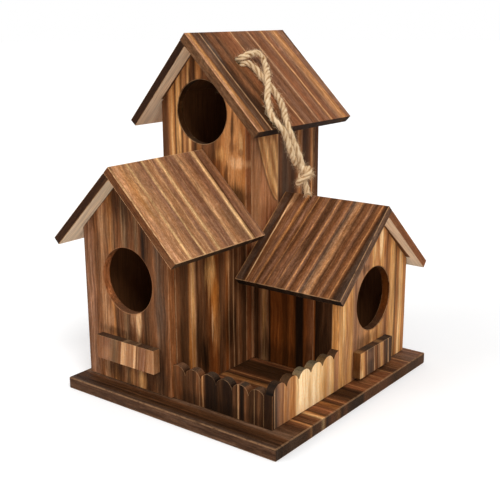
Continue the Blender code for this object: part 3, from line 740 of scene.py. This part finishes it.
towerLeft = {
    "node": "tower_left_wall", "across": backwards, "seed": 12,
    "strips": {
        6.6: "umber", 13: "brown", 15: "tan", 21: "copper", 26: "fawn", 27.5: "char", 35: "umber",
        37: "russet", 45: "brown", 47: "honey", 52: "fawn", 57: "umber", 63: "brown",
        68.2: "umber"},
    "lines": [(14, 0.7, 0.6), (27, 0.6, 0.7), (46, 0.7, 0.6), (60, 0.5, 0.5)],
    "patches": [
        ((50, 90), (6, 26), "umber", 0.7), ((38, 60), (5, 20), "char", 0.6),
        ((40, 120), (14, 12), "char", 0.5), ((60, 40), (4, 20), "char", 0.5)],
    "flame": {"tip": 60, "side": 27, "width": 1.3, "curve": 0.55, "tone": "honey", "low": "copper"},
    "grain": 0.8, "burn": 0.35, "rings": 0.35, "innerSide": 1}
dressBoard(towerLeft)

towerBack = {
    "node": "tower_back_wall", "across": sideways, "seed": 13,
    "strips": {
        -66.2: "brown", -61: "umber", -59: "copper", -54: "tan", -52: "umber", -45: "brown",
        -43: "fawn", -38: "brown", -30: "umber", -28: "char", -23: "umber", -21: "russet",
        -15: "copper", -13: "tan", -9: "brown", -5.3: "umber"},
    "lines": [(-60, 0.7, 0.6), (-38, 0.7, 0.7), (-22, 0.7, 0.6)],
    "patches": [
        ((-48, 120), (7, 30), "char", 0.6), ((-20, 60), (6, 30), "umber", 0.6),
        ((-34, 150), (5, 20), "honey", 0.7), ((-56, 40), (4, 22), "honey", 0.6),
        # The char patch at (-28, 172) is partly burnt wood and partly painted shade under the roof
        ((-36, 20), (30, 10), "char", 0.4), ((-28, 172), (14, 9), "char", 0.5)],
    "grain": 0.85, "rings": 0.45, "side": 1, "innerSide": 1}
dressBoard(towerBack)

# Annex walls
annexFront = {
    "node": "annex_front_wall", "across": sideways, "seed": 14,
    "strips": {
        -5: "char", -3.4: "umber", -2.6: "char", -1: "brown", 0.4: "fawn", 2: "honey", 4.4: "fawn",
        5.4: "brown", 6.2: "soot", 7.4: "rust", 13: "rust", 16: "ember", 18: "ember", 21: "rust",
        23.4: "ember", 24.4: "soot", 28.6: "soot", 30: "rust", 34.6: "russet", 36.2: "rust",
        37.2: "soot", 40.4: "char", 42: "umber", 47.2: "umber", 48.6: "fawn", 49.8: "char",
        53.2: "umber"},
    "lines": [(48.6, 0.45, 0.4), (2.2, 0.5, 0.3), (35.6, 0.4, 0.4)],
    "patches": [
        ((10, 12), (22, 12), "soot", 0.55), ((32, 16), (6, 14), "soot", 0.55),
        ((43, 26), (4, 16), "soot", 0.6), ((3, 18), (3, 12), "umber", 0.7)],
    "grain": 0.7, "speckle": 0.7, "burn": 0.2}
dressBoard(annexFront)

annexGable = {
    "node": "annex_gable_wall", "across": backwards, "seed": 15, "wander": 0.6,
    "strips": {
        -1.5: "tan", 1: "honey", 4: "honey", 6: "tan", 10.5: "honey", 12.4: "fawn", 14.5: "mauve",
        17: "fawn", 21: "fawn", 26: "tan", 30: "copper", 31.6: "honey", 36: "tan", 38.6: "copper",
        40.4: "honey", 44: "tan", 46.6: "brown", 50: "copper", 52: "honey", 56: "honey",
        58.2: "umber", 59: "copper", 61: "copper", 63: "straw", 65.6: "honey", 67: "copper",
        69.6: "tan", 70.6: "brown"},
    "lines": [(5.4, 0.5, 0.4), (33.4, 0.5, 0.4), (53.6, 0.6, 0.6), (64, 0.7, 0.6)],
    "patches": [
        ((24, 72), (8, 9), "mauve", 0.8), ((24, 67.5), (6, 3), "umber", 0.6),
        ((40, 79), (2.6, 10), "cream", 0.8), ((33, 77), (1.6, 7), "straw", 0.7),
        ((36.4, 82), (1.1, 6), "rust", 0.8), ((44.6, 74), (1.4, 8), "rust", 0.7),
        ((49, 78), (3, 7), "brown", 0.6), ((56, 70), (1.2, 9), "umber", 0.6),
        ((5, 24), (5, 18), "fawn", 0.6), ((2.4, 44), (1.2, 14), "straw", 0.6),
        # The umber band at (26, 27) is painted shadow of the ledge
        ((9, 50), (1.4, 10), "copper", 0.6), ((26, 27), (14, 5), "umber", 0.6)],
    "hole": ((33.45, 48.9), 18.5, "ember", 1),
    "ragged": 2.2, "grain": 0.65, "speckle": 0.5, "burn": 0.2, "side": 1, "end": 0.55}
dressBoard(annexGable)

annexBack = {
    "node": "annex_back_wall", "across": sideways, "seed": 16,
    "strips": {
        -5: "umber", 5: "umber", 6.4: "brown", 14: "brown", 15.6: "tan", 20: "copper",
        21.4: "umber", 29: "char", 30.6: "russet", 37: "brown", 44: "umber", 45.6: "fawn",
        50: "brown", 53.2: "umber"},
    "lines": [(15, 0.7, 0.6), (30, 0.7, 0.6), (45, 0.6, 0.6)],
    "patches": [((35, 30), (6, 20), "char", 0.6), ((10, 40), (4, 14), "honey", 0.5)],
    "grain": 0.85, "rings": 0.4, "innerSide": 1}
dressBoard(annexBack)
print("walls dressed")

# Ledges, short ends of the same stock
cottageLedge = {
    "node": "cottage_ledge", "across": sideways, "seed": 17, "lean": -0.12, "wander": 0.5,
    "strips": {
        -57: "brown", -50: "mauve", -44: "olive", -39.6: "brown", -38.6: "wheat", -35: "fawn",
        -31: "fawn", -29.4: "wheat", -28.2: "brown", -22.4: "mauve", -21.6: "brown", -20.2: "fawn",
        -15: "fawn", -13: "copper"},
    "lines": [(-36.4, 0.4, 0.5), (-27.2, 0.7, 0.6), (-13.6, 0.4, 0.5)],
    "patches": [((-50, 24), (5, 5), "fawn", 0.4)],
    "speckle": 0.6, "burn": 0.15, "rings": 0.35, "side": 0.75, "end": 0.34, "startEnd": 0.3,
    "innerSide": 0}
dressBoard(cottageLedge)

annexLedge = {
    "node": "annex_ledge", "across": backwards, "seed": 18, "lean": 0.06,
    "strips": {
        12.6: "rust", 13.6: "copper", 15: "honey", 17.6: "tan", 19.4: "brown", 21.6: "ash",
        25: "slate", 28: "ash", 30: "brown", 33.4: "umber", 34.6: "fawn", 36.6: "honey",
        38.2: "fawn", 39.6: "umber", 42.4: "slate", 44.4: "ash", 45.6: "slate", 48.4: "char"},
    "lines": [(21.2, 0.5, 0.9), (28.7, 0.5, 0.8), (33, 0.4, 0.5), (43.9, 0.6, 0.9)],
    "patches": [((15, 10), (2.6, 5), "straw", 0.7), ((24, 20), (6, 4), "mauve", 0.5)],
    "grain": 0.6, "speckle": 0.6, "burn": 0.2, "rings": 0.35, "side": 0.3, "end": 0.55,
    "startEnd": 0.3, "innerSide": 0}
dressBoard(annexLedge)

# Picket fences: the front one nearly black, the side one the palest board of all
frontFence = {
    "node": "terrace_front_fence", "across": sideways, "seed": 19,
    "strips": {
        -5: "copper", -3.8: "umber", -2.6: "brown", 0.6: "umber", 2: "char", 7.6: "umber",
        9: "char", 12.2: "brown", 13.6: "umber", 14.8: "copper", 16: "umber", 17: "soot",
        23.4: "soot", 25: "char", 29: "soot", 33.6: "soot", 35: "umber", 36.6: "char", 38: "brown",
        39: "black", 41: "soot", 42: "brown", 44.6: "char", 48.6: "char", 50: "umber", 52: "char"},
    "lines": [(12.6, 0.4, 0.4), (14.9, 0.5, 0.5), (37.6, 0.35, 0.7), (47.6, 0.3, 0.4)],
    "patches": [((24, 9), (40, 6), "black", 0.5), ((-1, 14), (3, 8), "ember", 0.4)],
    "grain": 0.75, "speckle": 0.5, "burn": 0.3, "end": 1, "innerSide": 0}
dressBoard(frontFence)

sideFence = {
    "node": "terrace_side_fence", "across": backwards, "seed": 20, "wander": 0.6,
    "strips": {
        -61.1: "fawn", -60.9: "umber", -60: "soot", -59.2: "ash", -57.6: "slate", -56: "mauve",
        -53.4: "fawn", -52.2: "mauve", -51: "tan", -48: "fawn", -45.4: "tan", -43: "copper",
        -41.6: "tan", -40.6: "straw", -38: "cream", -30: "cream", -27.4: "straw", -25: "cream",
        -20: "straw", -17: "straw", -14: "honey", -11.4: "wheat", -10: "straw", -6.8: "honey",
        -5.8: "fawn", -1.8: "sienna"},
    "lines": [(-59.2, 0.4, 0.7), (-51.2, 0.4, 0.5), (-11.4, 0.6, 0.8), (-46.6, 0.4, 0.5)],
    "patches": [
        ((-17, 14), (4, 6), "honey", 0.5), ((-29, 16), (1.2, 10), "honey", 0.5),
        ((-45, 14), (3, 8), "orange", 0.4), ((-35, 26), (4, 3), "cream", 0.8)],
    "grain": 0.45, "speckle": 0.5, "burn": 0.12, "rings": 0.35, "side": 0.2, "end": 0.15,
    "wear": 0.15, "wearTone": "tan", "innerTone": "umber"}
dressBoard(sideFence)

# Base: strips along its front edge, sooty at the front, with painted shade over the terrace floor
base = {
    "node": "base_plate", "across": backwards, "along": sideways, "seed": 21,
    "strips": {
        -75: "umber", -74: "slate", -71.4: "char", -69.8: "soot", -69: "umber", -67.6: "char",
        -64.5: "umber", -62.5: "ash", -50: "umber", -47: "brown", -45.4: "tan", -44: "umber",
        -37: "brown", -34.4: "straw", -33: "copper", -31.6: "char", -26: "russet", -23: "brown",
        -20: "copper", -17: "char", -13: "russet", -11: "umber", -6: "char", 4: "char",
        6: "russet", 13: "brown", 27: "russet", 39: "umber", 50: "brown", 60: "ash", 75: "mauve"},
    "lines": [
        (-45.5, 0.7, 0.8), (-34, 0.6, 0.8), (-21.3, 0.6, 0.8), (-13.4, 0.6, 0.8), (8.4, 0.5, 0.8),
        (17, 0.5, 0.9), (26, 0.6, 0.8), (36, 0.5, 0.9), (46, 0.5, 0.7), (56, 0.6, 0.8)],
    # The soot patch is painted shade on the terrace floor, between the fences and under the annex
    # eave
    "patches": [((-25, 97), (34, 32), "soot", 0.4)],
    "lineTone": "tan", "grain": 0.9, "speckle": 1.4, "rings": 0.25, "relief": 0.00055, "side": 1,
    "end": 0.46, "wear": 0.4, "innerSide": 0}
dressBoard(base)
print("ledges, fences and base dressed")


def inMetres(route):
    return [tuple(part / 10000 for part in spot) for spot in route]


# Jute cord, three strands laid round each other, on routes in tenths of a millimetre
leftLegRoute = inMetres([
    (-291, 200, 1706), (-269, 201, 1730), (-245, 199, 1752), (-217, 190, 1764), (-198, 208, 1774),
    (-201, 240, 1780), (-205, 272, 1784), (-208, 305, 1786), (-206, 336, 1780), (-194, 355, 1758),
    (-174, 346, 1734), (-154, 329, 1715), (-134, 309, 1699), (-114, 287, 1685), (-92, 266, 1673),
    (-75, 244, 1657), (-58, 222, 1639), (-42, 201, 1620), (-31, 182, 1596), (-20, 166, 1570),
    (-5, 148, 1547), (13, 130, 1526), (32, 113, 1506), (52, 96, 1486), (74, 85, 1465),
    (97, 83, 1443), (119, 93, 1420), (127, 110, 1394), (130, 128, 1368), (133, 143, 1339),
    (136, 156, 1309), (138, 169, 1279), (137, 186, 1251), (131, 207, 1227), (124, 232, 1208),
    (118, 259, 1190), (111, 287, 1174), (111, 313, 1156), (119, 338, 1137), (140, 358, 1121)])
rightLegRoute = inMetres([
    (-259, 200, 1691), (-238, 200, 1713), (-216, 205, 1733), (-195, 225, 1733), (-180, 245, 1716),
    (-161, 255, 1696), (-139, 256, 1675), (-118, 256, 1654), (-97, 259, 1632), (-75, 263, 1611),
    (-54, 265, 1590), (-32, 263, 1569), (-11, 258, 1548), (10, 249, 1527), (29, 238, 1508),
    (48, 223, 1489), (66, 206, 1472), (84, 189, 1454), (102, 172, 1437), (121, 160, 1417),
    (129, 163, 1389), (132, 177, 1362), (136, 190, 1335), (141, 203, 1308), (145, 214, 1280),
    (149, 225, 1253), (155, 235, 1225), (156, 246, 1197)])
overhandRoute = inMetres([
    (0, 2, 65), (-1, 3, 51), (-1, 4, 37), (-2, 6, 23), (-6, 12, 11), (-16, 17, 2), (-26, 15, -8),
    (-33, 7, -17), (-35, -4, -26), (-32, -16, -32), (-24, -27, -35), (-13, -35, -35),
    (1, -38, -32), (13, -35, -26), (23, -28, -18), (28, -18, -10), (28, -5, -3), (28, 7, 4),
    (27, 19, 11), (22, 30, 19), (12, 36, 27), (-1, 37, 33), (-14, 34, 35), (-26, 26, 35),
    (-33, 14, 31), (-35, 2, 24), (-32, -9, 16), (-24, -15, 6), (-14, -17, -3), (-5, -11, -13),
    (-2, -5, -25), (-1, -3, -39), (-1, -3, -53), (0, -2, -67), (0, -2, -82), (0, -1, -96)])
cordSettings = {
    "diameter": 0.003, "strandRadius": 0.00090, "strandOffset": 0.00086, "pitch": 0.0130,
    "step": 0.00045, "sides": 2, "twistSwing": ((0.35, 420), (0.5, 130)),
    "offsetSwing": (0.10, 900), "thickSwing": (0.09, 1300), "thickNoise": 0.05,
    "fuzz": {"perMillimetre": 10, "length": (0.0012, 0.0042), "radius": 0.000035,
             "rooted": 0.9, "turn": (0.2, 0.9), "rise": (0.15, 0.75), "curl": (-0.5, 0.25),
             "bow": 0.05, "parts": (0.5, 0.5), "taper": (1, 0.8, 0.25)},
    "tuft": {"fibres": 60, "length": (0.0012, 0.0036), "radius": 0.000077, "width": 1.5,
             "flare": 0.8, "flareSpread": (0.5, 1.3), "curl": (-0.2, 0.5), "droop": 0.1,
             "inside": 0.0006, "parts": (0.55, 0.45), "taper": (1, 0.9, 0.3)},
    "endKnot": {"middle": (0.0161, 0.02616, 0.11302), "hang": (0.10, 0.26, -1.0), "turn": 300},
    "stopKnotDepth": 0.0068}


# A smooth line through the points of a route, with some steps between each two
def smoothLine(route, steps=2):
    spots = [Vector(spot) for spot in route]
    ends = [2 * spots[0] - spots[1]] + spots + [2 * spots[-1] - spots[-2]]
    line = []
    for index in range(1, len(ends) - 2):
        before, here, there, after = ends[index - 1:index + 3]
        for step in range(steps):
            share = step / steps
            line.append(0.5 * (2 * here + (there - before) * share
                               + (2 * before - 5 * here + 4 * there - after) * share ** 2
                               + (3 * here - before - 3 * there + after) * share ** 3))
    return line + [spots[-1]]


# The overhand knot at its middle, hanging its own way and turned about it
def knotLine(middle, hang, turn):
    upward = -hang.normalized()
    across = Vector(backwards).cross(upward).normalized()
    along = upward.cross(across)
    line = []
    for spot in smoothLine(overhandRoute):
        first = spot.x * cos(turn) - spot.y * sin(turn)
        second = spot.x * sin(turn) + spot.y * cos(turn)
        line.append(middle + first * across + second * along + spot.z * upward)
    return line


def evenly(line, step):
    spots, left = [line[0].copy()], step
    for start, stop in zip(line, line[1:]):
        span = (stop - start).length
        while span > left:
            start = start + (stop - start) * (left / span)
            spots.append(start.copy())
            span = (stop - start).length
            left = step
        left -= span
    return spots


# A frame carried along a line without twisting
def carriedFrames(line):
    frames = []
    side = None
    for index in range(len(line)):
        ahead = (line[min(index + 1, len(line) - 1)] - line[max(index - 1, 0)]).normalized()
        if side is None:
            side = ahead.orthogonal().normalized()
        side = (side - ahead * side.dot(ahead)).normalized()
        frames.append((ahead, side.copy(), ahead.cross(side)))
    return frames


def newSweep(name, radius, sides=0):
    sweep = bpy.data.curves.new(name, "CURVE")
    sweep.dimensions = "3D"
    sweep.bevel_depth = radius
    sweep.bevel_resolution = sides
    sweep.use_fill_caps = True
    return sweep


def addSpline(sweep, spots, radii):
    spline = sweep.splines.new("POLY")
    spline.points.add(len(spots) - 1)
    for point, spot, radius in zip(spline.points, spots, radii):
        point.co = (*spot, 1)
        point.radius = radius


def sweptMesh(name, sweep):
    holder = showPiece(name + "_line", sweep)
    bpy.context.view_layer.update()
    swept = holder.evaluated_get(bpy.context.evaluated_depsgraph_get())
    mesh = bpy.data.meshes.new_from_object(swept)
    bpy.data.objects.remove(holder, do_unlink=True)
    mesh.name = name
    return showPiece(name, mesh)


def around(angle, side, upright):
    return cos(angle) * side + sin(angle) * upright


# Strands of uneven thickness laid round the line
def layStrands(name, spots, frames, settings, seed):
    chance = random.Random(seed)
    sweep = newSweep(name, settings["strandRadius"], settings["sides"])
    (slow, slowRate), (quick, quickRate) = settings["twistSwing"]
    for strand in range(3):
        path, radii = [], []
        bulge = chance.uniform(0, 6)
        for index, (spot, frame) in enumerate(zip(spots, frames)):
            run = index * settings["step"]
            angle = (2 * pi * (run / settings["pitch"] + strand / 3)
                     + slow * sin(run * slowRate + bulge) + quick * sin(run * quickRate))
            swing, rate = settings["offsetSwing"]
            offset = settings["strandOffset"] * (1 + swing * sin(run * rate + bulge * 3))
            path.append(spot + offset * around(angle, *frame[1:]))
            swing, rate = settings["thickSwing"]
            noise = chance.uniform(-settings["thickNoise"], settings["thickNoise"])
            radii.append(1 + swing * sin(run * rate + bulge * 2) + noise)
        addSpline(sweep, path, radii)
    return sweptMesh(name, sweep)


# Loose fibres that stand off the strands
def addFuzz(name, spots, frames, settings, seed):
    chance = random.Random(seed)
    fuzz = settings["fuzz"]
    sweep = newSweep(name, fuzz["radius"])
    skin = settings["strandOffset"] + settings["strandRadius"] * fuzz["rooted"]
    for _ in range(int(len(spots) * settings["step"] * millimetres * fuzz["perMillimetre"])):
        index = chance.randrange(len(spots))
        ahead, side, upright = frames[index]
        out = around(chance.uniform(0, 2 * pi), side, upright)
        turn = chance.choice((-1, 1)) * chance.uniform(*fuzz["turn"])
        length = chance.uniform(*fuzz["length"])
        start = spots[index] + out * skin * fuzz["rooted"]
        lean = (out * chance.uniform(*fuzz["rise"]) + ahead * chance.choice((-1, 1))
                + ahead.cross(out) * turn).normalized()
        near, far = fuzz["parts"]
        middle = start + lean * length * near + out * length * fuzz["bow"]
        end = middle + (lean + out * chance.uniform(*fuzz["curl"])).normalized() * length * far
        addSpline(sweep, [start, middle, end], fuzz["taper"])
    return sweptMesh(name, sweep)


# The cut end, its strands unlaid into a brush of fibres
def addTuft(name, end, ahead, settings, seed):
    chance = random.Random(seed)
    tuft = settings["tuft"]
    sweep = newSweep(name, tuft["radius"])
    side = ahead.orthogonal().normalized()
    upright = ahead.cross(side)
    for _ in range(tuft["fibres"]):
        angle, ring = chance.uniform(0, 2 * pi), chance.uniform(0, 1) ** 0.5
        out = around(angle, side, upright)
        length = chance.uniform(*tuft["length"])
        start = end - ahead * tuft["inside"] + out * ring * settings["strandRadius"] * tuft["width"]
        flare = out * ring * tuft["flare"] * chance.uniform(*tuft["flareSpread"])
        lean = (ahead + flare).normalized()
        near, far = tuft["parts"]
        middle = start + lean * length * near
        tip = (lean + out * chance.uniform(*tuft["curl"])).normalized() * length * far
        droop = Vector((0, 0, -tuft["droop"] * length))
        addSpline(sweep, [start, middle, middle + tip + droop], tuft["taper"])
    return sweptMesh(name, sweep)


# Jute: fibres of four pale tones, with painted shade between the strands
juteSettings = {
    "tones": ((0.0, "#a8845a"), (0.38, "#d6b488"), (0.55, "#ecd0a8"), (0.75, "#fbe8c8")),
    "broad": (0.35, 3.0), "fine": (3.2, 4.0, 0.7), "broadShare": 0.4, "fineShare": 0.6,
    "creaseShadeTint": (0.62, 0.49, 0.36, 1), "creaseShadeReach": (0.55, 0.95), "roughness": (0.3, 0.7, 0.95, 0.75),
    "relief": 0.0002, "bump": 0.6, "gloss": 0.2}


def makeJute(settings):
    material, tree = newMaterial("jute")
    spot = objectSpot(tree)
    broad = noiseOf(tree, spot, *settings["broad"])
    fine = noiseOf(tree, spot, *settings["fine"])
    fibre = addTo(tree, broad, settings["broadShare"],
                  product(tree, fine, settings["fineShare"]))
    outer = rampOf(tree, fibre, [(share, fromHex(tone)) for share, tone in settings["tones"]])
    stand = addNode(tree, "ShaderNodeAttribute", attribute_name="stand").outputs["Fac"]
    # Painted shade between the strands: the colour darkens where the skin lies near the cord's
    # middle
    colour = mixed(tree, spread(tree, stand, *settings["creaseShadeReach"]),
                   tinted(tree, outer, settings["creaseShadeTint"]), outer)
    finishShader(tree, colour, spread(tree, fine, *settings["roughness"]), fine, settings)
    return material


# How far each point stands from the cord's middle, one at the outer skin; the jute paints shade
# where this is low
def markStand(piece, spots, reach):
    tree = KDTree(len(spots))
    for index, spot in enumerate(spots):
        tree.insert(spot, index)
    tree.balance()
    shares = [min(tree.find(vertex.co)[2] / reach, 1.0) for vertex in piece.data.vertices]
    piece.data.attributes.new("stand", "FLOAT", "POINT").data.foreach_set("value", shares)


def finishCord(name, line, replaced, seed):
    spots = evenly(line, cordSettings["step"])
    frames = carriedFrames(spots)
    cord = layStrands(name, spots, frames, cordSettings, seed)
    fuzz = addFuzz(name + "_fuzz", spots, frames, cordSettings, seed + 1)
    tuft = addTuft(name + "_tuft", spots[-1], frames[-1][0], cordSettings, seed + 2)
    for piece in (cord, fuzz, tuft):
        markStand(piece, spots, cordSettings["strandOffset"] + cordSettings["strandRadius"])
        piece.data.materials.clear()
        piece.data.materials.append(jute)
        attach(piece, "root")
        for face in piece.data.polygons:
            face.use_smooth = True
    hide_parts(*replaced)


jute = makeJute(juteSettings)
roofNormal = Vector((sin(radians(towerRightPitch)), 0, cos(radians(towerRightPitch))))
stopKnot = knotLine(Vector(rightLegRoute[0]) - cordSettings["stopKnotDepth"] * roofNormal,
                    -roofNormal, 0)
hanging = cordSettings["endKnot"]
endKnot = knotLine(Vector(hanging["middle"]), Vector(hanging["hang"]), radians(hanging["turn"]))
rightLine = stopKnot[::-1] + smoothLine(rightLegRoute)[1:] + endKnot[1:]
finishCord("rope_left", smoothLine(leftLegRoute), ["rope_leg_left"], 31)
finishCord("rope_right", rightLine, ["rope_leg_right", "rope_end_knot", "rope_stop_knot"],
           47)

# Floor, soft light and a white background that leaves the floor its shadow
stageSettings = {
    "floorRadius": 6, "floorSides": 96, "floorDrop": 0.0001,
    "floorTone": (0.86, 0.86, 0.86, 1), "floorGlow": 0.22,
    "worldLight": 0.55, "key": ((0.75, -0.55, 0.95), 1.6, 25),
    "fill": ((-0.55, -0.85, 0.55), 1.0, 40)}


# One for the rays that come from the camera, straight or by way of gloss or glass
def seenRays(tree):
    rays = tree.nodes.new("ShaderNodeLightPath").outputs
    return calc(tree, "MAXIMUM", rays["Is Camera Ray"],
                calc(tree, "MAXIMUM", rays["Is Glossy Ray"], rays["Is Transmission Ray"]))


def layFloor(settings):
    mesh = bpy.data.meshes.new("floor")
    shape = bmesh.new()
    bmesh.ops.create_circle(shape, cap_ends=True, segments=settings["floorSides"],
                            radius=settings["floorRadius"])
    bmesh.ops.translate(shape, verts=shape.verts, vec=(0, 0, -settings["floorDrop"]))
    shape.to_mesh(mesh)
    shape.free()
    material, tree = newMaterial("paleFloor")
    tree.nodes.remove(tree.nodes["Principled BSDF"])
    plain = addNode(tree, "ShaderNodeBsdfDiffuse", {"Color": settings["floorTone"]}).outputs[0]
    glow = addNode(tree, "ShaderNodeEmission", {"Color": (1, 1, 1, 1),
                                                "Strength": settings["floorGlow"]}).outputs[0]
    glowing = addNode(tree, "ShaderNodeAddShader", {0: plain, 1: glow}).outputs[0]
    chosen = addNode(tree, "ShaderNodeMixShader", {0: seenRays(tree), 1: plain, 2: glowing})
    tree.links.new(chosen.outputs[0], tree.nodes["Material Output"].inputs["Surface"])
    mesh.materials.append(material)
    showPiece("floor", mesh)


def lightWorld(strength):
    world = bpy.data.worlds.new("paleRoom")
    bpy.context.scene.world = world
    world.use_nodes = True
    tree = world.node_tree
    background = tree.nodes["Background"]
    background.inputs["Color"].default_value = (1, 1, 1, 1)
    level = spread(tree, seenRays(tree), 0.0, 1.0, strength, 1.0)
    tree.links.new(level, background.inputs["Strength"])


def hangLamp(name, direction, strength, softness):
    lamp = bpy.data.lights.new(name, "SUN")
    lamp.energy = strength
    lamp.angle = radians(softness)
    turn = Vector(direction).to_track_quat("Z", "Y").to_euler()
    showPiece(name, lamp).rotation_euler = turn


layFloor(stageSettings)
lightWorld(stageSettings["worldLight"])
for name in ("key", "fill"):
    hangLamp(name, *stageSettings[name])
bpy.context.scene.view_settings.view_transform = "Standard"
print("stage lit")
